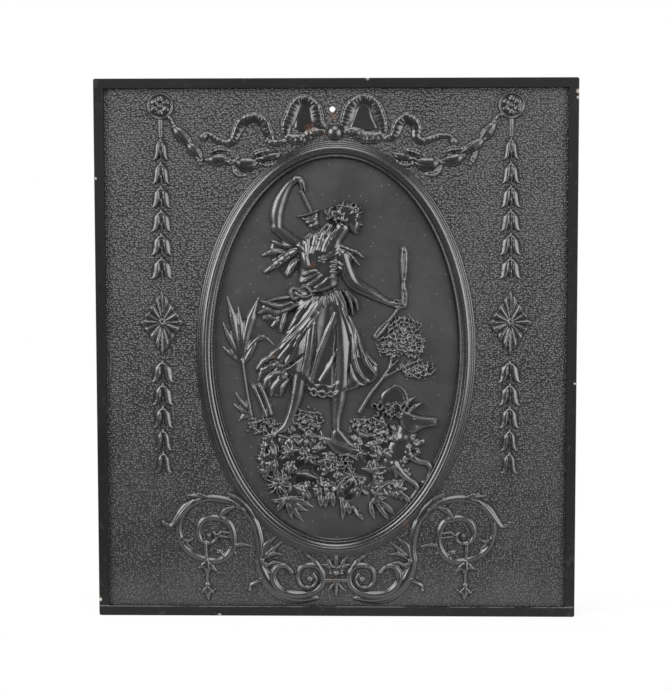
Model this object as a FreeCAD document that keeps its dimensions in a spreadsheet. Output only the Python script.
import FreeCAD, Part
import Sketcher
import math
import os

# Fireplace summer cover: a cast border frame holds a stippled field plate with an oval opening.
# A smooth medallion plate laps the opening from behind and a reeded oval moulding covers the
# joint in front. Every ornament is a casting seated on a plate and held by screws from the back.
# X runs along the width, Z up, the decorated front faces -Y. The origin is the middle of the
# underside of the frame, where the cover stands on the hearth.

SIZES = {
    # Border frame
    "rim_face": 12.5,            # plain border seen from the front
    "rim_lip": 6.0,              # how far the field lies behind the border's face
    "rim_wall": 4.5,             # return wall round the back
    "rim_depth": 28.0,           # front to back
    "rim_corner": 2.5,           # rounding of the four corners
    "rim_edge": 0.8,             # softened front edges
    # Plates
    "panel_thickness": 6.0,
    "panel_gap": 0.5,            # panel edge to the frame's return wall
    "medallion_thickness": 5.0,
    "medallion_inset": 2.0,      # edge of the medallion plate inside the moulding's outline
    "pull_hole_dia": 7.2,        # clearance hole for a quarter inch pull bolt
    "pull_hole_side": 4.0,       # left of the middle, as drilled
    "pull_hole_drop": 26.0,      # below the border's inner edge
    # Oval moulding
    "moulding_width": 21.0,
    "moulding_height": 5.6,
    # Relief in the medallion
    "relief_width": 292.0,
    "relief_side_margin": 11.0,
    "relief_height": 462.0,
    "relief_end_margin": 14.0,
    "figure_depth": 11.0,
    "plant_depth": 7.0,
    # Ornament on the field
    "ornament_depth": 5.2,
    "knot_dia": 20.0,
    "knot_gap": 0.5,
    "bow_reach": 62.0,           # knot to the far side of a big loop
    "bow_rise": 42.0,            # knot to the top of a big loop
    "bow_gap": 6.0,              # top of the bow to the border
    "ribbon_width": 13.0,
    "tail_gap": 2.0,
    "tail_reach": 95.0,
    "tail_rise": 17.0,
    "tail_width": 9.5,
    "rosette_dia": 35.0,
    "rosette_gap": 5.0,
    "swag_sag": 32.0,
    "swag_width": 15.0,
    "swag_gap": 1.0,
    "drop_edge": 71.5,           # border to the middle line of a drop
    "drop_gap": 43.0,            # middle line of a drop to the moulding
    "drop_stem": 23.0,           # bare stem under a rosette
    "husk_length": 28.0,
    "husk_width": 23.0,
    "husk_gap": 2.0,
    "lozenge_width": 58.0,
    "lozenge_height": 86.0,
    "lozenge_gap": 8.0,
    "lower_husk_length": 28.0,
    "lower_husk_width": 22.0,
    "lower_husk_gap": 4.5,
    "scroll_radius": 51.0,
    "scroll_gap": 6.0,
    "stem_width": 7.0,
    "pendant_gap": 5.0,
    "cartouche_height": 55.0,
    "cartouche_reach": 95.0,     # middle to the outer end of a base scroll
    "base_gap": 4.0,
    # Screws
    "screw_dia": 3.0,
    "screw_clearance": 0.1,      # radial, in every screw hole
    "screw_bite": 3.0,           # length held in the piece in front
    "screw_tip_gap": 0.3,
    "screw_head_dia": 6.0,
    "screw_head_height": 2.2,
    "screw_slot_width": 1.0,
    "screw_slot_depth": 1.0,
    "moulding_screw_margin": 10.5,  # moulding's outline to its screws
}

UPPER_HUSKS = 6
LOWER_HUSKS = 5
LOZENGE_RAYS = 16
ROSETTE_PETALS = 6
MOULDING_SCREWS = 12
SCREWS_ACROSS = 4
SCREWS_UP = 5

doc = FreeCAD.newDocument("SummerCover")
sheet = doc.addObject("Spreadsheet::Sheet", "Sizes")
for row, (alias, value) in enumerate(SIZES.items(), start=1):
    sheet.set(f"A{row}", alias)
    sheet.set(f"B{row}", str(value))
    sheet.setAlias(f"B{row}", alias)
doc.recompute()

# Places that follow from the sizes, from the middle of the medallion outwards
OVAL_X = "(Sizes.relief_width / 2 + Sizes.relief_side_margin)"
OVAL_Z = "(Sizes.relief_height / 2 + Sizes.relief_end_margin)"
OUTLINE_X = f"({OVAL_X} + Sizes.moulding_width)"
OUTLINE_Z = f"({OVAL_Z} + Sizes.moulding_width)"
DROP_X = f"({OUTLINE_X} + Sizes.drop_gap)"
OPENING_X = f"({DROP_X} + Sizes.drop_edge)"
COVER_X = f"({OPENING_X} + Sizes.rim_face)"
FOOT_Z = "(Sizes.rim_face + Sizes.base_gap)"
CENTRE_Z = f"({FOOT_Z} + Sizes.cartouche_height + Sizes.base_gap + {OUTLINE_Z})"
KNOT_Z = f"({CENTRE_Z} + {OUTLINE_Z} + Sizes.knot_gap + Sizes.knot_dia / 2)"
OPENING_TOP = f"({KNOT_Z} + Sizes.bow_rise + Sizes.ribbon_width / 2 + Sizes.bow_gap)"
COVER_TOP = f"({OPENING_TOP} + Sizes.rim_face)"
# Depths: front of the frame, of the field and of the medallion, and the two plate backs
FRONT_Y = "(0 - Sizes.rim_depth / 2)"
FIELD_Y = f"({FRONT_Y} + Sizes.rim_lip)"
PANEL_BACK = f"({FIELD_Y} + Sizes.panel_thickness)"
PLATE_BACK = f"({PANEL_BACK} + Sizes.medallion_thickness)"
HOLE_RADIUS = "(Sizes.screw_dia / 2 + Sizes.screw_clearance)"

BEHIND = FreeCAD.Vector(0, 1, 0)


def mm(expression):
    """Value of an expression of the sheet, in millimetres."""
    return float(sheet.evalExpression(expression))


def size(alias):
    """One driving size."""
    return mm(f"Sizes.{alias}")


def at(x, z, y):
    """Point from its place on the front (x, z) and its depth y."""
    return FreeCAD.Vector(x, y, z)


FIELD = mm(FIELD_Y)
MEDALLION = mm(PANEL_BACK)
CENTRE = mm(CENTRE_Z)
KNOT = mm(KNOT_Z)
DROP = mm(DROP_X)
PIECES = {}                      # node name to its document object


def keep(label, obj):
    """Name a finished sub-part."""
    obj.Label = label
    PIECES[label] = obj
    return obj


def feature(label, shape):
    """Document object for a sculpted shape, with its own label."""
    obj = doc.addObject("Part::Feature", label)
    obj.Shape = shape
    obj.Placement = FreeCAD.Placement()
    return keep(label, obj)


# Sketches and plates

def origin_plane(body, role):
    """One of a body's own origin planes."""
    return next(item for item in body.Origin.OriginFeatures if item.Role == role)


def front_sketch(body, name, depth):
    """Sketch seen from the front, at the depth y given by an expression."""
    sketch = body.newObject("Sketcher::SketchObject", name)
    sketch.AttachmentSupport = [(origin_plane(body, "XZ_Plane"), "")]
    sketch.MapMode = "FlatFace"
    sketch.setExpression("AttachmentOffset.Base.z", f"0 - ({depth})")
    return sketch


def add_rectangle(sketch, name, half_width, low, high):
    """Rectangle about the vertical axis, bound to three expressions; low of None is the axis."""
    reach, bottom, top = mm(half_width), mm(low) if low else 0.0, mm(high)
    corners = [(-reach, bottom), (reach, bottom), (reach, top), (-reach, top)]
    first = sketch.GeometryCount
    for number, (x, z) in enumerate(corners):
        next_x, next_z = corners[(number + 1) % 4]
        start, end = FreeCAD.Vector(x, z, 0), FreeCAD.Vector(next_x, next_z, 0)
        sketch.addGeometry(Part.LineSegment(start, end), False)
    for number in range(4):
        following = first + (number + 1) % 4
        sketch.addConstraint(Sketcher.Constraint("Coincident", first + number, 2, following, 1))
    for number in (1, 3):
        sketch.addConstraint(Sketcher.Constraint("Vertical", first + number))
    sketch.addConstraint(Sketcher.Constraint("Horizontal", first + 2))
    sketch.addConstraint(Sketcher.Constraint("Symmetric", first, 1, first, 2, -2))
    width = sketch.addConstraint(Sketcher.Constraint("DistanceX", first, 1, first, 2, 2 * reach))
    sketch.renameConstraint(width, f"{name}_width")
    sketch.setExpression(f"Constraints.{name}_width", f"2 * {half_width}")
    if low:
        foot = sketch.addConstraint(Sketcher.Constraint("DistanceY", -1, 1, first, 1, bottom))
        sketch.renameConstraint(foot, f"{name}_low")
        sketch.setExpression(f"Constraints.{name}_low", low)
    else:
        sketch.addConstraint(Sketcher.Constraint("PointOnObject", first, 1, -1))
    head = sketch.addConstraint(Sketcher.Constraint("DistanceY", -1, 1, first + 2, 1, top))
    sketch.renameConstraint(head, f"{name}_high")
    sketch.setExpression(f"Constraints.{name}_high", high)


def add_pad(body, name, sketch, length):
    """Pad of a front sketch towards the front."""
    pad = body.newObject("PartDesign::Pad", name)
    pad.Profile = sketch
    pad.setExpression("Length", length)
    doc.recompute()
    return pad


def edge_names(shape, wanted):
    """Names of the edges that a test on their two ends picks."""
    return [f"Edge{number}" for number, edge in enumerate(shape.Edges, start=1)
            if len(edge.Vertexes) == 2 and wanted(*(vertex.Point for vertex in edge.Vertexes))]


def add_fillet(body, name, base, edges, radius):
    """Fillet on named edges of a feature."""
    fillet = body.newObject("PartDesign::Fillet", name)
    fillet.Base = (base, edges)
    fillet.setExpression("Radius", radius)
    doc.recompute()
    return fillet


def ellipse(name, half_x, half_z, depth):
    """Ellipse about the middle of the medallion; half axes and depth are expressions."""
    obj = doc.addObject("Part::Ellipse", name)
    obj.setExpression("MajorRadius", half_z)
    obj.setExpression("MinorRadius", half_x)
    # The long axis stands up and the normal points to the back
    upright = FreeCAD.Rotation(FreeCAD.Vector(0, 0, 1), FreeCAD.Vector(1, 0, 0), BEHIND, "XYZ")
    obj.Placement = FreeCAD.Placement(FreeCAD.Vector(), upright)
    obj.setExpression("Placement.Base.y", depth)
    obj.setExpression("Placement.Base.z", CENTRE_Z)
    return obj


def oval_plate(name, half_x, half_z, depth, thickness):
    """Oval plate from a front face at a depth, going backwards."""
    plate = doc.addObject("Part::Extrusion", name)
    plate.Base = ellipse(f"{name}Edge", half_x, half_z, depth)
    plate.DirMode = "Custom"
    plate.Dir = BEHIND
    plate.Solid = True
    plate.setExpression("LengthFwd", thickness)
    return plate


def holes(name, places, radius, front, back):
    """Tool of round holes through the depths front to back."""
    tool = doc.addObject("Part::Feature", name)
    tool.Shape = Part.makeCompound([
        Part.makeCylinder(radius, back - front, at(x, z, front), BEHIND) for x, z in places])
    tool.Placement = FreeCAD.Placement()
    return tool


def cut(label, base, tools):
    """Part::Cut of a base by several tools, kept as a sub-part."""
    for number, tool in enumerate(tools):
        step = doc.addObject("Part::Cut", f"{label}Cut{number}")
        step.Base = base
        step.Tool = tool
        base = step
    return keep(label, base)


# Relief forms: all of them stand on a flat ground at depth y and rise to the front

def leaf(ground, tail, tip, width, height, belly=0.45):
    """Keeled leaf from its tail to its tip, widest at a share of its length."""
    along_x, along_z = tip[0] - tail[0], tip[1] - tail[1]
    length = math.hypot(along_x, along_z)
    side_x, side_z = -along_z / length * width / 2, along_x / length * width / 2
    mid_x, mid_z = tail[0] + along_x * belly, tail[1] + along_z * belly
    start, end = at(*tail, ground), at(*tip, ground)
    left = at(mid_x + side_x, mid_z + side_z, ground)
    right = at(mid_x - side_x, mid_z - side_z, ground)
    crown = at(mid_x, mid_z, ground - height)
    outlines = [(start, left, crown), (start, crown, right), (end, crown, left),
                (end, right, crown), (start, right, end, left)]
    faces = [Part.Face(Part.makePolygon(list(points) + [points[0]])) for points in outlines]
    solid = Part.makeSolid(Part.makeShell(faces))
    if solid.Volume < 0:
        solid.reverse()
    return solid


def dome(ground, place, width, height):
    """Cap of a sphere on a round foot."""
    radius = (width * width / 4 + height * height) / (2 * height)
    low = math.degrees(math.asin((radius - height) / radius))
    return Part.makeSphere(radius, at(*place, ground + radius - height), -BEHIND, low, 90, 360)


def route(points, depth):
    """Flat path of straight runs joined by tangent arcs as large as the runs allow."""
    corners = [at(x, z, depth) for x, z in points]
    edges = []
    last = corners[0]
    for before, corner, after in zip(corners, corners[1:], corners[2:]):
        into, out = corner - before, after - corner
        turn = into.getAngle(out)
        run = min(into.Length, out.Length)
        into.normalize()
        out.normalize()
        reach = 0.45 * run
        radius = reach / math.tan(turn / 2)
        inwards = out - into
        inwards.normalize()
        middle = corner + inwards * (math.hypot(reach, radius) - radius)
        edges.append(Part.makeLine(last, corner - into * reach))
        edges.append(Part.Arc(corner - into * reach, middle, corner + out * reach).toShape())
        last = corner + out * reach
    edges.append(Part.makeLine(last, corners[-1]))
    return Part.Wire(edges)


def stem(ground, points, width, height, crown_share=0.5):
    """Ridged stem or ribbon along a path: wide foot, narrower flat crown."""
    path = route(points, ground)
    way = at(*points[1], ground) - at(*points[0], ground)
    way.normalize()
    side = way.cross(BEHIND)
    start = at(*points[0], ground)
    crown = start - BEHIND * height
    foot_reach, crown_reach = side * (width / 2), side * (crown_share * width / 2)
    outline = [start + foot_reach, crown + crown_reach, crown - crown_reach, start - foot_reach]
    shell = Part.BRepOffsetAPI.MakePipeShell(path)
    shell.setBiNormalMode(BEHIND)
    shell.add(Part.makePolygon(outline + [outline[0]]))
    shell.build()
    shell.makeSolid()
    solid = shell.shape()
    if solid.Volume < 0:
        solid.reverse()
    return solid


def bar(x, low, high, width, height):
    """Upright square bar on the field."""
    return Part.makeBox(width, height, high - low, at(x - width / 2, low, FIELD - height))


def limb(start, end, start_radius, end_radius):
    """Round tapered limb with domed ends between two points, cut flat on the medallion."""
    way = end - start
    length = way.Length
    way.normalize()
    turn = FreeCAD.Rotation(FreeCAD.Vector(1, 0, 0), way)
    half = math.sqrt(0.5)
    rear = Part.Arc(FreeCAD.Vector(-start_radius, 0, 0),
                    FreeCAD.Vector(-start_radius * half, start_radius * half, 0),
                    FreeCAD.Vector(0, start_radius, 0)).toShape()
    flank = Part.makeLine(FreeCAD.Vector(0, start_radius, 0), FreeCAD.Vector(length, end_radius, 0))
    nose = Part.Arc(FreeCAD.Vector(length, end_radius, 0),
                    FreeCAD.Vector(length + end_radius * half, end_radius * half, 0),
                    FreeCAD.Vector(length + end_radius, 0, 0)).toShape()
    axis = Part.makeLine(FreeCAD.Vector(length + end_radius, 0, 0),
                         FreeCAD.Vector(-start_radius, 0, 0))
    profile = Part.Face(Part.Wire([rear, flank, nose, axis]))
    solid = profile.revolve(FreeCAD.Vector(), FreeCAD.Vector(1, 0, 0), 360)
    solid.Placement = FreeCAD.Placement(start, turn)
    span = 2 * (length + start_radius + end_radius)
    corner = FreeCAD.Vector(start.x - span, MEDALLION, start.z - span)
    return solid.cut(Part.makeBox(2 * span, span, 2 * span, corner)).Solids[0]


def joined(solids):
    """One solid from overlapping solids."""
    shape = solids[0].multiFuse(solids[1:]).removeSplitter()
    return max(shape.Solids, key=lambda solid: solid.Volume)


def clear_of(shape, neighbours):
    """A shape with the room of its neighbours cut away."""
    for neighbour in neighbours:
        shape = shape.cut(neighbour)
    return max(shape.Solids, key=lambda solid: solid.Volume)


def mirrored(shape):
    """The same shape on the other side of the middle plane."""
    return shape.mirror(FreeCAD.Vector(), FreeCAD.Vector(1, 0, 0))


def drilled(shape, ground, places):
    """Blind screw holes from the ground into a shape."""
    depth = size("screw_bite") + size("screw_tip_gap")
    for x, z in places:
        shape = shape.cut(Part.makeCylinder(mm(HOLE_RADIUS), depth, at(x, z, ground), -BEHIND))
    return shape


def oval_edge(x):
    """Half height of the moulding's outline at a distance x from the middle."""
    share = min(abs(x) / mm(OUTLINE_X), 1.0)
    return mm(OUTLINE_Z) * math.sqrt(1 - share * share)


def oval_point(angle, half_x, half_z, offset):
    """Point off an ellipse about the medallion's middle, by an offset along its normal."""
    x, z = half_x * math.cos(angle), half_z * math.sin(angle)
    normal_x, normal_z = math.cos(angle) / half_x, math.sin(angle) / half_z
    length = math.hypot(normal_x, normal_z)
    return x + normal_x / length * offset, CENTRE + z + normal_z / length * offset


ORNAMENT_SCREWS = []             # places on the field, (x, z)
RELIEF_SCREWS = []               # places on the medallion, (x, z)


def seat_pair(name, shape, anchors):
    """Left ornament of the field and its mirrored right twin, with their screws."""
    left = drilled(shape, FIELD, anchors)
    feature(f"{name}_left", left)
    feature(f"{name}_right", mirrored(left))
    for x, z in anchors:
        ORNAMENT_SCREWS.append((x, z))
        ORNAMENT_SCREWS.append((-x, z))


def seat_relief(name, shape, anchors):
    """Relief of the medallion with its screws."""
    feature(name, drilled(shape, MEDALLION, anchors))
    RELIEF_SCREWS.extend(anchors)


# Ribbon bow: two big loops and a knot; the lower folds follow the moulding

RISE = size("ornament_depth")
RIBBON = size("ribbon_width")
REACH = size("bow_reach")
FLAT = 0.85                      # crown share of a ribbon
LOOP = [(-0.08, 0.05), (-0.34, 0.50), (-0.41, 0.85), (-0.63, 1.00), (-0.83, 0.81), (-0.91, 0.44),
        (-0.98, 0.02)]           # shares of the reach and rise


def above_oval(x, clearance):
    """Height above the moulding's outline at x."""
    return CENTRE + oval_edge(x) + clearance


def bow_loop():
    """Left loop and the fold under it."""
    upper = [(x * REACH, KNOT + z * size("bow_rise")) for x, z in LOOP]
    fold_lift = size("knot_gap") + RIBBON / 2 + 1.0
    fold = [upper[-1]]
    for share in (0.82, 0.52):
        fold.append((-share * REACH, above_oval(share * REACH, fold_lift)))
    fold.append((-0.08 * REACH, KNOT - 0.04 * size("bow_rise")))
    return [stem(FIELD, upper, RIBBON, 0.8 * RISE, FLAT), stem(FIELD, fold, RIBBON, 0.65 * RISE, FLAT),
            dome(FIELD, upper[-1], RIBBON, 0.9 * RISE)]


def ribbon_bow():
    """Both loops joined by the knot."""
    left = bow_loop()
    right = [mirrored(solid) for solid in left]
    knot = dome(FIELD, (0, KNOT), size("knot_dia"), RISE)
    bow = joined([knot] + left + right)
    feature("ribbon_bow", drilled(bow, FIELD, [(0, KNOT)]))
    ORNAMENT_SCREWS.append((0, KNOT))


TAIL = [(0.00, -0.33), (0.14, 0.05), (0.19, 0.70), (0.33, 1.00), (0.50, 0.85), (0.58, 0.12),
        (0.64, -0.62), (0.73, -0.85), (0.82, -0.50), (0.91, -0.10), (1.00, -0.10)]


def ribbon_tails():
    """Second loop and wavy tail beside each big loop."""
    start = REACH + RIBBON / 2 + size("tail_gap") + 1.0
    points = [(-start - x * size("tail_reach"), KNOT + z * size("tail_rise")) for x, z in TAIL]
    curl = (points[-1][0], points[-1][1])
    tail = joined([stem(FIELD, points, size("tail_width"), 0.75 * RISE, FLAT),
                   dome(FIELD, curl, 1.3 * size("tail_width"), 0.9 * RISE)])
    seat_pair("ribbon_tail", tail, [curl])


# Rosettes, swags and drops

def rosette_place():
    """Middle of the left rosette."""
    return -DROP, mm(OPENING_TOP) - size("rosette_gap") - size("rosette_dia") / 2


def rosettes():
    """Round bosses with a raised edge and petals."""
    x, z = rosette_place()
    radius = size("rosette_dia") / 2
    edge_width, disc = 0.18 * radius, 0.35 * RISE
    foot = at(x, z, FIELD)
    edge = Part.makeCylinder(radius, 0.75 * RISE, foot, -BEHIND)
    edge = edge.cut(Part.makeCylinder(radius - edge_width, 0.75 * RISE, foot, -BEHIND))
    solids = [Part.makeCylinder(radius - edge_width / 2, disc, foot, -BEHIND), edge]
    for number in range(ROSETTE_PETALS):
        angle = 2 * math.pi * number / ROSETTE_PETALS + math.pi / 2
        tip = (x + 0.85 * radius * math.cos(angle), z + 0.85 * radius * math.sin(angle))
        solids.append(leaf(FIELD, (x, z), tip, 0.55 * radius, 0.8 * RISE, 0.6))
    solids.append(dome(FIELD, (x, z), 0.55 * radius, RISE))
    seat_pair("rosette", joined(solids), [(x, z)])


def bud(ground, tail, tip, width, height):
    """Bellflower: a middle petal and two flared side petals."""
    along_x, along_z = tip[0] - tail[0], tip[1] - tail[1]
    length = math.hypot(along_x, along_z)
    side_x, side_z = -along_z / length * width / 2, along_x / length * width / 2
    waist = (tail[0] + 0.80 * along_x, tail[1] + 0.80 * along_z)
    solids = [leaf(ground, tail, tip, 0.50 * width, height, 0.5),
              leaf(ground, tail, waist, 0.90 * width, 0.75 * height, 0.55)]
    for way in (-1, 1):
        lip = (tail[0] + 0.84 * along_x + way * side_x, tail[1] + 0.84 * along_z + way * side_z)
        solids.append(leaf(ground, tail, lip, 0.42 * width, 0.85 * height, 0.5))
    return solids


def swags():
    """Garlands of three buds between the rosettes and the moulding."""
    start_x, start_z = rosette_place()
    end_x = -1.32 * REACH
    end_z = above_oval(end_x, 0.9 * size("swag_width"))
    clear = size("rosette_dia") / 2 + size("swag_gap")

    def hang(share):
        drop = 4 * size("swag_sag") * share * (1 - share)
        return (start_x + (end_x - start_x) * share, start_z + (end_z - start_z) * share - drop)

    first = hang(0.12)
    gap = math.hypot(first[0] - start_x, first[1] - start_z)
    first_share = 0.12 * (clear + 3.0) / gap
    stops = [(first_share, 0.32), (0.36, 0.66), (0.68, 1.0)]
    solids = []
    for number, (low, high) in enumerate(stops):
        width = size("swag_width") * (0.85 if number == 0 else 1.0)
        solids += bud(FIELD, hang(low), hang(high), width, 0.9 * RISE)
    links = [hang(0.34), hang(0.67)]
    solids += [dome(FIELD, link, 0.62 * size("swag_width"), RISE) for link in links]
    seat_pair("swag", joined(solids), links)


def husk_drop(top, count, length, width, gap, shrink):
    """String of bellflowers hanging down a drop's middle line, each a little smaller."""
    solids = []
    anchors = []
    z = top
    for number in range(count):
        share = 1.0 - shrink * number / max(count - 1, 1)
        link = (-DROP, z)
        solids.append(dome(FIELD, link, 0.40 * width, RISE))
        solids += bud(FIELD, (-DROP, z + 0.5), (-DROP, z - length * share), width * share, 0.9 * RISE)
        if number in (1, count - 2):
            anchors.append(link)
        z -= length * share + gap
    foot = z + gap
    solids.append(bar(-DROP, foot, top, 0.10 * width, 0.3 * RISE))
    return joined(solids), anchors, foot


def drops():
    """Upper husks, lozenge and lower husks under each rosette."""
    rosette_foot = rosette_place()[1] - size("rosette_dia") / 2
    top = rosette_foot - size("drop_stem")
    husks, anchors, z = husk_drop(top, UPPER_HUSKS, size("husk_length"), size("husk_width"),
                                  size("husk_gap"), 0.0)
    neck = bar(-DROP, top, rosette_foot - size("swag_gap"), 0.18 * size("husk_width"), 0.6 * RISE)
    seat_pair("upper_husks", joined([husks, neck]), anchors)

    half_x, half_z = size("lozenge_width") / 2, size("lozenge_height") / 2
    middle = (-DROP, z - size("lozenge_gap") - half_z)
    corners = [(half_x, 0), (0, half_z), (-half_x, 0), (0, -half_z), (half_x, 0)]
    outline = Part.makePolygon([at(middle[0] + x, middle[1] + d, FIELD) for x, d in corners])
    solids = [Part.Face(outline).extrude(-BEHIND * (0.3 * RISE))]
    for number in range(LOZENGE_RAYS):
        angle = 2 * math.pi * number / LOZENGE_RAYS
        reach = 0.97 / (abs(math.cos(angle)) / half_x + abs(math.sin(angle)) / half_z)
        tip = (middle[0] + reach * math.cos(angle), middle[1] + reach * math.sin(angle))
        solids.append(leaf(FIELD, middle, tip, 0.30 * reach, 0.85 * RISE, 0.7))
    solids.append(dome(FIELD, middle, 0.28 * half_x * 2, RISE))
    seat_pair("lozenge", joined(solids), [middle])

    top = middle[1] - half_z - size("lozenge_gap")
    husks, anchors, z = husk_drop(top, LOWER_HUSKS, size("lower_husk_length"), size("lower_husk_width"),
                                  size("lower_husk_gap"), 0.25)
    seat_pair("lower_husks", husks, anchors)


# Scrollwork at the foot

SPIRAL = [(-30, 1.42), (-12, 1.28), (8, 1.14), (30, 1.04), (58, 1.00), (88, 0.99), (118, 0.95),
          (148, 0.86), (178, 0.77), (208, 0.70), (238, 0.66), (268, 0.66), (298, 0.68), (328, 0.69),
          (358, 0.65), (390, 0.55), (425, 0.44), (465, 0.35), (510, 0.29), (560, 0.26), (610, 0.24)]
SCROLL_ANGLE = math.radians(228.5)


def scroll_middle():
    """Middle of the left spiral, off the moulding's lower flank."""
    reach = 1.04 * size("scroll_radius") + size("stem_width") / 2 + size("scroll_gap")
    return oval_point(SCROLL_ANGLE, mm(OUTLINE_X), mm(OUTLINE_Z), reach)


def polar(middle, degrees, reach):
    """Point at an angle and distance from a middle."""
    angle = math.radians(degrees)
    return middle[0] + reach * math.cos(angle), middle[1] + reach * math.sin(angle)


def scrolls():
    """Large spirals with leaves, and the pendants under them."""
    middle = scroll_middle()
    radius, width = size("scroll_radius"), size("stem_width")
    points = [polar(middle, angle, share * radius) for angle, share in SPIRAL]
    heart = polar(middle, 610, 0.10 * radius)
    solids = [stem(FIELD, points, width, 0.8 * RISE), dome(FIELD, heart, 2.2 * width, RISE)]
    for angle, low, high in ((118, 0.95, 1.30), (150, 0.86, 1.15), (215, 0.68, 0.98),
                             (75, 1.0, 0.72), (178, 0.77, 0.50), (300, 0.68, 0.42)):
        tail = polar(middle, angle, low * radius)
        tip = polar(middle, angle + 14, high * radius)
        solids.append(leaf(FIELD, tail, tip, 1.6 * width, 0.9 * RISE))
    scroll = joined(solids)
    seat_pair("scroll", scroll, [heart])

    top = middle[1] - 0.72 * radius - width
    foot = size("rim_face") + size("pendant_gap")
    length = top - foot
    x = middle[0]
    solids = [dome(FIELD, (x, top - 0.08 * length), width, 0.8 * RISE)]
    solids.append(bar(x, foot + 0.08 * length, top - 0.02 * length, 0.35 * width, 0.5 * RISE))
    solids += bud(FIELD, (x, top - 0.15 * length), (x, top - 0.58 * length), 2.4 * width, 0.9 * RISE)
    solids.append(dome(FIELD, (x, top - 0.66 * length), 1.2 * width, RISE))
    for way in (-1, 0, 1):
        tip = (x + way * 0.9 * width, foot + (0.10 * length if way else 0.0))
        solids.append(leaf(FIELD, (x, top - 0.70 * length), tip, 0.8 * width, 0.8 * RISE))
    pendant = clear_of(joined(solids), [scroll])
    seat_pair("pendant", pendant, [(x, top - 0.66 * length)])
    return scroll


BASE_VOLUTE = [(-0.65, 0.88), (-0.75, 0.65), (-0.72, 0.36), (-0.58, 0.16), (-0.37, 0.10),
               (-0.18, 0.25), (-0.14, 0.54), (-0.23, 0.79), (-0.38, 0.85), (-0.51, 0.70), (-0.52, 0.48),
               (-0.42, 0.34), (-0.30, 0.37)]
BASE_SWEEP = [(-0.98, 0.80), (-1.00, 0.62), (-0.93, 0.40), (-0.78, 0.20), (-0.58, 0.09), (-0.36, 0.08)]


def base_scrolls(scroll):
    """C-scrolls along the foot and the palmette between them."""
    reach, height, foot = size("cartouche_reach"), size("cartouche_height"), mm(FOOT_Z)
    width = 0.85 * size("stem_width")

    def place(point):
        return point[0] * reach, foot + point[1] * height

    eye = place((-0.37, 0.55))
    solids = [stem(FIELD, [place(p) for p in BASE_VOLUTE], width, 0.8 * RISE),
              stem(FIELD, [place(p) for p in BASE_SWEEP], width, 0.7 * RISE),
              dome(FIELD, place((-0.62, 0.78)), 1.6 * width, RISE),
              dome(FIELD, eye, 3.2 * width, RISE)]
    for tail, tip in (((-0.99, 0.66), (-0.84, 0.95)), ((-0.94, 0.42), (-0.80, 0.58)),
                      ((-0.94, 0.42), (-1.10, 0.30)), ((-0.75, 0.60), (-0.86, 0.72))):
        solids.append(leaf(FIELD, place(tail), place(tip), 1.5 * width, 0.9 * RISE))
    base = clear_of(joined(solids), [scroll])
    seat_pair("base_scroll", base, [place((-0.62, 0.78)), eye])

    boss = (0.0, foot + 0.56 * height)
    solids = [dome(FIELD, boss, 0.28 * height, RISE)]
    for angle, share in ((90, 0.42), (58, 0.40), (122, 0.40), (25, 0.20), (155, 0.20)):
        tip = polar(boss, angle, share * height)
        solids.append(leaf(FIELD, boss, tip, 0.16 * height, 0.9 * RISE, 0.6))
    solids += bud(FIELD, (0.0, foot + 0.46 * height), (0.0, foot), 0.26 * height, 0.9 * RISE)
    solids.append(dome(FIELD, (0.0, foot + 0.30 * height), 0.14 * height, RISE))
    palmette = clear_of(joined(solids), [base, mirrored(base)])
    feature("base_palmette", drilled(palmette, FIELD, [boss]))
    ORNAMENT_SCREWS.append(boss)


# Relief of the medallion: places are shares of the relief's half width and half height

def spot(x, z):
    """Place in the relief from shares of its half sizes."""
    return x * size("relief_width") / 2, CENTRE + z * size("relief_height") / 2


def raised(x, z, height):
    """Point in the relief at a height above the medallion's ground."""
    return at(*spot(x, z), MEDALLION - height)


FIGURE = size("figure_depth")
PLANT = size("plant_depth")
HEAD = size("relief_height") / 13.5      # head height of the figure


def limbs(joints, radii, crest):
    """Chain of limbs through joints given as shares; radii in heads, all crests at one height."""
    reaches = [radius * HEAD for radius in radii]
    points = [raised(x, z, crest - reach) for (x, z), reach in zip(joints, reaches)]
    return [limb(*ends) for ends in zip(points, points[1:], reaches, reaches[1:])]


SKIRT = [(-0.17, 0.28), (-0.42, 0.12), (-0.63, -0.06), (-0.52, -0.23), (-0.30, -0.19), (-0.16, -0.23),
         (0.00, -0.20), (0.14, -0.22), (0.24, -0.15), (0.31, 0.02), (0.15, 0.28)]
FOLDS = [(-0.15, 0.27, -0.60, -0.08), (-0.12, 0.26, -0.50, -0.22), (-0.09, 0.26, -0.30, -0.18),
         (-0.04, 0.26, -0.16, -0.22), (0.00, 0.26, 0.00, -0.19), (0.05, 0.26, 0.14, -0.21),
         (0.10, 0.27, 0.24, -0.14)]
SCARF = [(-0.14, 0.28, -0.68, 0.24), (-0.12, 0.30, -0.70, 0.12), (-0.12, 0.53, -0.60, 0.38)]


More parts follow.
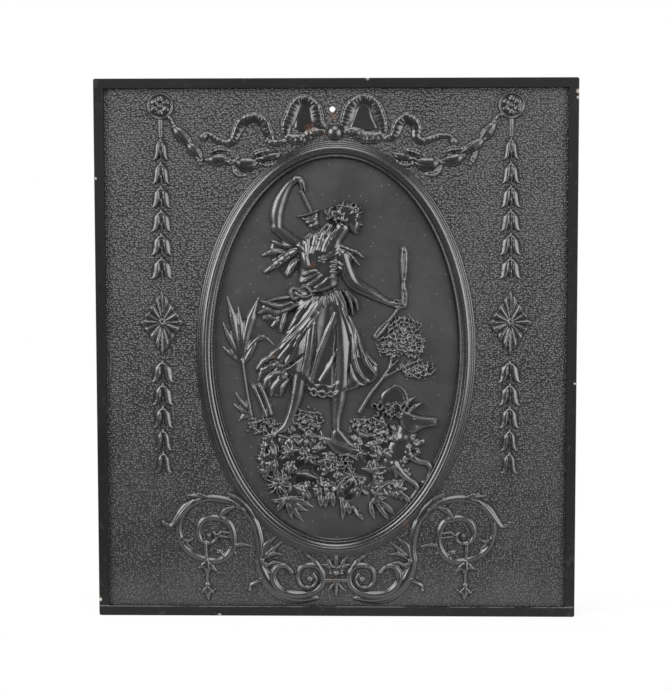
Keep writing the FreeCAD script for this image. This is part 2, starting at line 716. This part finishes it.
def huntress():
    """Striding draped figure with one arm raised to the quiver and one held out."""
    solids = limbs([(-0.06, 0.55), (-0.07, 0.44), (-0.02, 0.30), (-0.01, 0.20)], (0.50, 0.50, 0.38, 0.50),
                   0.95 * FIGURE)
    solids += limbs([(-0.04, 0.58), (0.04, 0.70), (0.06, 0.735)], (0.30, 0.20, 0.20), 0.75 * FIGURE)
    solids += limbs([(0.05, 0.75), (0.085, 0.715)], (0.46, 0.34), FIGURE)
    solids += limbs([(-0.12, 0.56), (-0.54, 0.68), (-0.43, 0.86), (-0.34, 0.92), (-0.28, 0.92)],
                    (0.26, 0.19, 0.15, 0.12, 0.13), 0.85 * FIGURE)
    solids += limbs([(0.02, 0.54), (0.26, 0.37), (0.47, 0.28)], (0.26, 0.18, 0.13), 0.95 * FIGURE)
    solids += limbs([(-0.08, 0.20), (-0.20, -0.10), (-0.30, -0.22), (-0.40, -0.38), (-0.49, -0.43)],
                    (0.40, 0.38, 0.24, 0.15, 0.11), 0.75 * FIGURE)
    solids += limbs([(0.02, 0.20), (-0.01, -0.10), (-0.02, -0.24), (0.02, -0.46), (0.11, -0.51)],
                    (0.40, 0.38, 0.24, 0.15, 0.11), 0.8 * FIGURE)
    hem = Part.makePolygon([at(*spot(x, z), MEDALLION) for x, z in SKIRT + SKIRT[:1]])
    solids.append(Part.Face(hem).extrude(-BEHIND * (0.5 * FIGURE)))
    for top_x, top_z, low_x, low_z in FOLDS:
        solids.append(leaf(MEDALLION, spot(top_x, top_z), spot(low_x, low_z), 0.8 * HEAD,
                           0.9 * FIGURE, 0.6))
    for top_x, top_z, low_x, low_z in SCARF:
        solids.append(leaf(MEDALLION, spot(top_x, top_z), spot(low_x, low_z), 0.8 * HEAD,
                           0.5 * FIGURE))
    figure = joined(solids)
    seat_relief("huntress", figure, [spot(-0.07, 0.44), spot(-0.08, 0.05)])
    return figure


def hunting_gear(figure):
    """Bow in the outstretched hand and quiver at the shoulder."""
    bow_line = ((0.60, 0.55), (0.575, 0.42), (0.565, 0.27), (0.49, 0.14), (0.34, 0.02))
    limbs_path = [spot(*point) for point in bow_line]
    bow = joined([stem(MEDALLION, limbs_path, 0.42 * HEAD, 0.7 * PLANT),
                  dome(MEDALLION, spot(0.565, 0.26), 0.62 * HEAD, 0.85 * PLANT),
                  leaf(MEDALLION, spot(0.575, 0.40), spot(0.605, 0.58), 0.5 * HEAD, 0.75 * PLANT),
                  leaf(MEDALLION, spot(0.45, 0.10), spot(0.30, 0.00), 0.5 * HEAD, 0.75 * PLANT)])
    bow = clear_of(bow, [figure])
    seat_relief("hunting_bow", bow, [spot(0.568, 0.262)])

    quiver_path = [spot(-0.30, 0.80), spot(-0.23, 0.73), spot(-0.17, 0.63)]
    case = joined([stem(MEDALLION, quiver_path, 0.62 * HEAD, 0.8 * PLANT),
                   dome(MEDALLION, spot(-0.23, 0.735), 0.66 * HEAD, PLANT),
                   leaf(MEDALLION, spot(-0.26, 0.76), spot(-0.32, 0.88), 0.25 * HEAD, 0.6 * PLANT)])
    case = clear_of(case, [figure])
    seat_relief("quiver", case, [spot(-0.23, 0.735)])
    return [bow, case]


def fan(middle, tips, width, height, belly=0.5):
    """Leaves from one place to several tips."""
    return [leaf(MEDALLION, spot(*middle), spot(*tip), width, height, belly) for tip in tips]


def plants(neighbours):
    """Reed plant, shrub, hound and leafy ground, each clear of what was set before."""
    stalk = [spot(*p) for p in ((-0.60, -0.42), (-0.70, -0.20), (-0.79, -0.03), (-0.84, 0.10))]
    solids = [stem(MEDALLION, stalk, 0.35 * HEAD, 0.8 * PLANT),
              dome(MEDALLION, spot(-0.70, -0.20), 0.5 * HEAD, PLANT)]
    solids += fan((-0.80, -0.05), ((-0.93, 0.29), (-0.71, 0.28), (-0.98, 0.15), (-0.97, 0.02)),
                  0.5 * HEAD, 0.8 * PLANT, 0.4)
    solids += fan((-0.72, -0.18), ((-0.90, -0.06), (-0.62, 0.02), (-0.88, -0.22)), 0.45 * HEAD, 0.8 * PLANT)
    reeds = clear_of(joined(solids), neighbours)
    seat_relief("reed_plant", reeds, [spot(-0.70, -0.20)])
    neighbours = neighbours + [reeds]

    trunk = [spot(*p) for p in ((0.17, -0.36), (0.32, -0.23), (0.44, -0.11), (0.52, 0.02))]
    clumps = ((0.53, 0.09), (0.63, 0.02), (0.70, -0.12), (0.44, -0.02))
    branch = [spot(*p) for p in ((0.36, -0.20), (0.52, -0.14), (0.70, -0.12))]
    solids = [stem(MEDALLION, trunk, 0.32 * HEAD, 0.7 * PLANT),
              stem(MEDALLION, branch, 0.22 * HEAD, 0.6 * PLANT)]
    for clump in clumps:
        x, z = clump
        solids.append(dome(MEDALLION, spot(*clump), 0.95 * HEAD, 0.9 * PLANT))
        solids += fan(clump, ((x + 0.12, z + 0.03), (x + 0.04, z + 0.09), (x - 0.10, z + 0.05)),
                      0.4 * HEAD, 0.7 * PLANT)
    shrub = clear_of(joined(solids), neighbours)
    seat_relief("shrub", shrub, [spot(0.63, 0.02)])
    neighbours = neighbours + [shrub]

    solids = limbs([(0.34, -0.50), (0.50, -0.38), (0.58, -0.27)], (0.62, 0.55, 0.34), PLANT)
    solids += limbs([(0.58, -0.26), (0.72, -0.33), (0.86, -0.385)], (0.38, 0.24, 0.14), 1.05 * PLANT)
    solids += limbs([(0.52, -0.42), (0.70, -0.53), (0.77, -0.61)], (0.26, 0.17, 0.12), 0.85 * PLANT)
    solids += limbs([(0.44, -0.48), (0.58, -0.64), (0.64, -0.72)], (0.26, 0.17, 0.12), 0.85 * PLANT)
    solids.append(leaf(MEDALLION, spot(0.62, -0.22), spot(0.50, -0.36), 0.45 * HEAD, PLANT))
    hound = clear_of(joined(solids), neighbours)
    seat_relief("hound", hound, [spot(0.48, -0.38)])
    neighbours = neighbours + [hound]

    grounds = {
        "ground_leaves_left": (((-0.38, -0.58), (-0.20, -0.74)),
                               ((-0.60, -0.46), (-0.68, -0.66), (-0.58, -0.80), (-0.44, -0.92),
                                (-0.26, -0.96), (-0.05, -0.94), (-0.06, -0.60), (-0.30, -0.42))),
        "ground_leaves_right": (((0.16, -0.66), (0.36, -0.74)),
                                ((0.06, -0.90), (0.20, -0.97), (0.36, -0.94), (0.52, -0.86),
                                 (0.62, -0.78), (0.44, -0.56), (0.22, -0.50), (0.05, -0.62)))}
    for name, (mounds, tips) in grounds.items():
        solids = [dome(MEDALLION, spot(*mound), 2.3 * HEAD, 0.9 * PLANT) for mound in mounds]
        for number, tip in enumerate(tips):
            near = min(mounds, key=lambda mound: math.hypot(mound[0] - tip[0], mound[1] - tip[1]))
            solids += fan(near, (tip,), (0.75 if number % 2 else 0.95) * HEAD, PLANT, 0.6)
        ground = clear_of(joined(solids), neighbours)
        seat_relief(name, ground, [spot(*mounds[0]), spot(*mounds[1])])
        neighbours = neighbours + [ground]


ribbon_bow()
ribbon_tails()
rosettes()
swags()
drops()
base_scrolls(scrolls())
figure_shape = huntress()
plants([figure_shape] + hunting_gear(figure_shape))


# Plates, frame and moulding

def frame_screw_places():
    """Screw places round the lap between the field plate and the border."""
    inset = size("rim_wall") + (size("rim_face") - size("rim_wall")) / 2
    reach, top = mm(COVER_X) - inset, mm(COVER_TOP) - inset
    places = []
    for number in range(SCREWS_ACROSS):
        x = reach * (2 * (number + 0.5) / SCREWS_ACROSS - 1)
        places += [(x, inset), (x, top)]
    for number in range(SCREWS_UP):
        z = inset + (top - inset) * (number + 0.5) / SCREWS_UP
        places += [(-reach, z), (reach, z)]
    return places


def moulding_screw_places():
    """Screw places under the crown of the moulding."""
    offset = size("moulding_width") - size("moulding_screw_margin")
    return [oval_point(2 * math.pi * (number + 0.5) / MOULDING_SCREWS, mm(OVAL_X), mm(OVAL_Z), offset)
            for number in range(MOULDING_SCREWS)]


FRAME_SCREWS = frame_screw_places()
RING_SCREWS = moulding_screw_places()
BLIND = size("screw_bite") + size("screw_tip_gap")
BORE = mm(HOLE_RADIUS)


def rim_frame():
    """Border frame: return walls and front lip, softened corners and edges, blind screw holes."""
    body = doc.addObject("PartDesign::Body", "RimBody")
    walls = front_sketch(body, "RimWalls", "Sizes.rim_depth / 2")
    add_rectangle(walls, "outside", COVER_X, None, COVER_TOP)
    add_rectangle(walls, "inside", f"({COVER_X} - Sizes.rim_wall)", "Sizes.rim_wall",
                  f"({COVER_TOP} - Sizes.rim_wall)")
    add_pad(body, "RimWallPad", walls, "Sizes.rim_depth")
    lip = front_sketch(body, "RimLip", FIELD_Y)
    add_rectangle(lip, "outside", COVER_X, None, COVER_TOP)
    add_rectangle(lip, "opening", OPENING_X, "Sizes.rim_face", OPENING_TOP)
    pad = add_pad(body, "RimLipPad", lip, "Sizes.rim_lip")
    side, front = mm(COVER_X), mm(FRONT_Y)
    near = 0.01

    def outer_corner(start, end):
        return abs(start.x - end.x) < near and abs(start.z - end.z) < near and abs(start.x) > side - near

    def front_edge(start, end):
        return max(start.y, end.y) < front + near

    corners = add_fillet(body, "RimCorners", pad, edge_names(pad.Shape, outer_corner), "Sizes.rim_corner")
    add_fillet(body, "RimEdges", corners, edge_names(corners.Shape, front_edge), "Sizes.rim_edge")
    tool = holes("RimHoles", FRAME_SCREWS, BORE, FIELD - BLIND, FIELD)
    cut("rim_frame", body, [tool])


def field_panel():
    """Field plate with the oval opening, the hole for a pull and the screw holes."""
    plate = doc.addObject("Part::Box", "PanelPlate")
    edge = "(Sizes.rim_wall + Sizes.panel_gap)"
    plate.setExpression("Length", f"2 * ({COVER_X} - {edge})")
    plate.setExpression("Width", "Sizes.panel_thickness")
    plate.setExpression("Height", f"{COVER_TOP} - 2 * {edge}")
    plate.setExpression("Placement.Base.x", f"{edge} - {COVER_X}")
    plate.setExpression("Placement.Base.y", FIELD_Y)
    plate.setExpression("Placement.Base.z", edge)
    opening = oval_plate("PanelOpening", OVAL_X, OVAL_Z, FIELD_Y, "Sizes.panel_thickness")
    pull = doc.addObject("Part::Cylinder", "PullHole")
    pull.setExpression("Radius", "Sizes.pull_hole_dia / 2")
    pull.setExpression("Height", "Sizes.panel_thickness")
    pull.Placement.Rotation = FreeCAD.Rotation(FreeCAD.Vector(0, 0, 1), BEHIND)
    pull.setExpression("Placement.Base.x", "0 - Sizes.pull_hole_side")
    pull.setExpression("Placement.Base.y", FIELD_Y)
    pull.setExpression("Placement.Base.z", f"{OPENING_TOP} - Sizes.pull_hole_drop")
    places = FRAME_SCREWS + RING_SCREWS + ORNAMENT_SCREWS
    tool = holes("PanelHoles", places, BORE, FIELD, mm(PANEL_BACK))
    cut("field_panel", plate, [opening, pull, tool])


def medallion_plate():
    """Smooth oval plate behind the opening."""
    half_x = f"({OUTLINE_X} - Sizes.medallion_inset)"
    half_z = f"({OUTLINE_Z} - Sizes.medallion_inset)"
    plate = oval_plate("MedallionOval", half_x, half_z, PANEL_BACK, "Sizes.medallion_thickness")
    tool = holes("MedallionHoles", RING_SCREWS + RELIEF_SCREWS, BORE, MEDALLION, mm(PLATE_BACK))
    cut("medallion_plate", plate, [tool])


# Moulding section: shares of its width from the opening outwards, and of its height
SECTION = [(1.00, 0.00), (0.995, 0.16), (0.95, 0.33), (0.885, 0.40), (0.87, 0.38), (0.83, 0.54),
           (0.765, 0.61), (0.745, 0.60), (0.705, 0.76), (0.64, 0.83), (0.62, 0.83), (0.57, 0.95),
           (0.50, 1.00), (0.43, 0.98), (0.37, 0.88), (0.29, 0.78), (0.255, 0.66), (0.24, 0.65),
           (0.165, 0.57), (0.13, 0.45), (0.115, 0.44), (0.04, 0.36), (0.005, 0.24), (-0.05, 0.24)]


def oval_moulding():
    """Reeded oval ring: three reeds on each flank of a smooth crown."""
    sections = []
    for number, (out, up) in enumerate(SECTION):
        offset = f"Sizes.moulding_width * {out}"
        sections.append(ellipse(f"Moulding{number}", f"{OVAL_X} + {offset}", f"{OVAL_Z} + {offset}",
                                f"{FIELD_Y} - Sizes.moulding_height * {up}"))
    loft = doc.addObject("Part::Loft", "MouldingLoft")
    loft.Sections = sections
    loft.Solid = True
    loft.Ruled = True
    depth = f"({FIELD_Y} - Sizes.moulding_height)"
    opening = oval_plate("MouldingOpening", OVAL_X, OVAL_Z, depth, "Sizes.moulding_height")
    tool = holes("MouldingHoles", RING_SCREWS, BORE, FIELD - BLIND, FIELD)
    cut("oval_moulding", loft, [opening, tool])


def screw_body(name, grip):
    """Slotted cheese head screw along Y, head behind the origin, shank to the front."""
    body = doc.addObject("PartDesign::Body", name)
    for part, radius, start, length in (("Head", "Sizes.screw_head_dia / 2", "Sizes.screw_head_height",
                                         "Sizes.screw_head_height"),
                                        ("Shank", "Sizes.screw_dia / 2", "0", grip)):
        sketch = front_sketch(body, f"{name}{part}", start)
        sketch.addGeometry(Part.Circle(FreeCAD.Vector(), FreeCAD.Vector(0, 0, 1), mm(radius)), False)
        sketch.addConstraint(Sketcher.Constraint("Coincident", 0, 3, -1, 1))
        number = sketch.addConstraint(Sketcher.Constraint("Radius", 0, mm(radius)))
        sketch.renameConstraint(number, "radius")
        sketch.setExpression("Constraints.radius", radius)
        add_pad(body, f"{name}{part}Pad", sketch, length)
    slot = doc.addObject("Part::Box", f"{name}Slot")
    slot.setExpression("Length", "Sizes.screw_head_dia")
    slot.setExpression("Width", "Sizes.screw_slot_depth")
    slot.setExpression("Height", "Sizes.screw_slot_width")
    slot.setExpression("Placement.Base.x", "0 - Sizes.screw_head_dia / 2")
    slot.setExpression("Placement.Base.y", "Sizes.screw_head_height - Sizes.screw_slot_depth")
    slot.setExpression("Placement.Base.z", "0 - Sizes.screw_slot_width / 2")
    slotted = doc.addObject("Part::Cut", f"{name}Slotted")
    slotted.Base = body
    slotted.Tool = slot
    doc.recompute()
    return slotted.Shape


def screw_group(label, shape, places, back):
    """Separate copies of one screw with their heads on a back face."""
    feature(label, Part.makeCompound([shape.translated(at(x, z, back)) for x, z in places]))


rim_frame()
field_panel()
medallion_plate()
oval_moulding()
panel_screw = screw_body("PanelScrew", "Sizes.panel_thickness + Sizes.screw_bite")
ring_screw = screw_body("RingScrew", "Sizes.panel_thickness + Sizes.medallion_thickness + Sizes.screw_bite")
relief_screw = screw_body("ReliefScrew", "Sizes.medallion_thickness + Sizes.screw_bite")
screw_group("frame_screws", panel_screw, FRAME_SCREWS, mm(PANEL_BACK))
screw_group("ornament_screws", panel_screw, ORNAMENT_SCREWS, mm(PANEL_BACK))
screw_group("moulding_screws", ring_screw, RING_SCREWS, mm(PLATE_BACK))
screw_group("relief_screws", relief_screw, RELIEF_SCREWS, mm(PLATE_BACK))

doc.recompute()
for obj in doc.Objects:
    if "Invalid" in obj.State or "Error" in obj.State:
        raise RuntimeError(f"{obj.Name} failed: {obj.State}")
for name, obj in PIECES.items():
    if obj.Shape.isNull() or not obj.Shape.isValid():
        raise RuntimeError(f"{name} has no valid shape")

os.makedirs("parts", exist_ok=True)
for name, obj in PIECES.items():
    obj.Shape.exportStep(f"parts/{name}.step")
    box = obj.Shape.BoundBox
    print(f"{name}: {len(obj.Shape.Solids)} solids, {obj.Shape.Volume / 1000:.1f} cm3, "
          f"x {box.XMin:.1f}..{box.XMax:.1f}  y {box.YMin:.1f}..{box.YMax:.1f}  "
          f"z {box.ZMin:.1f}..{box.ZMax:.1f}")
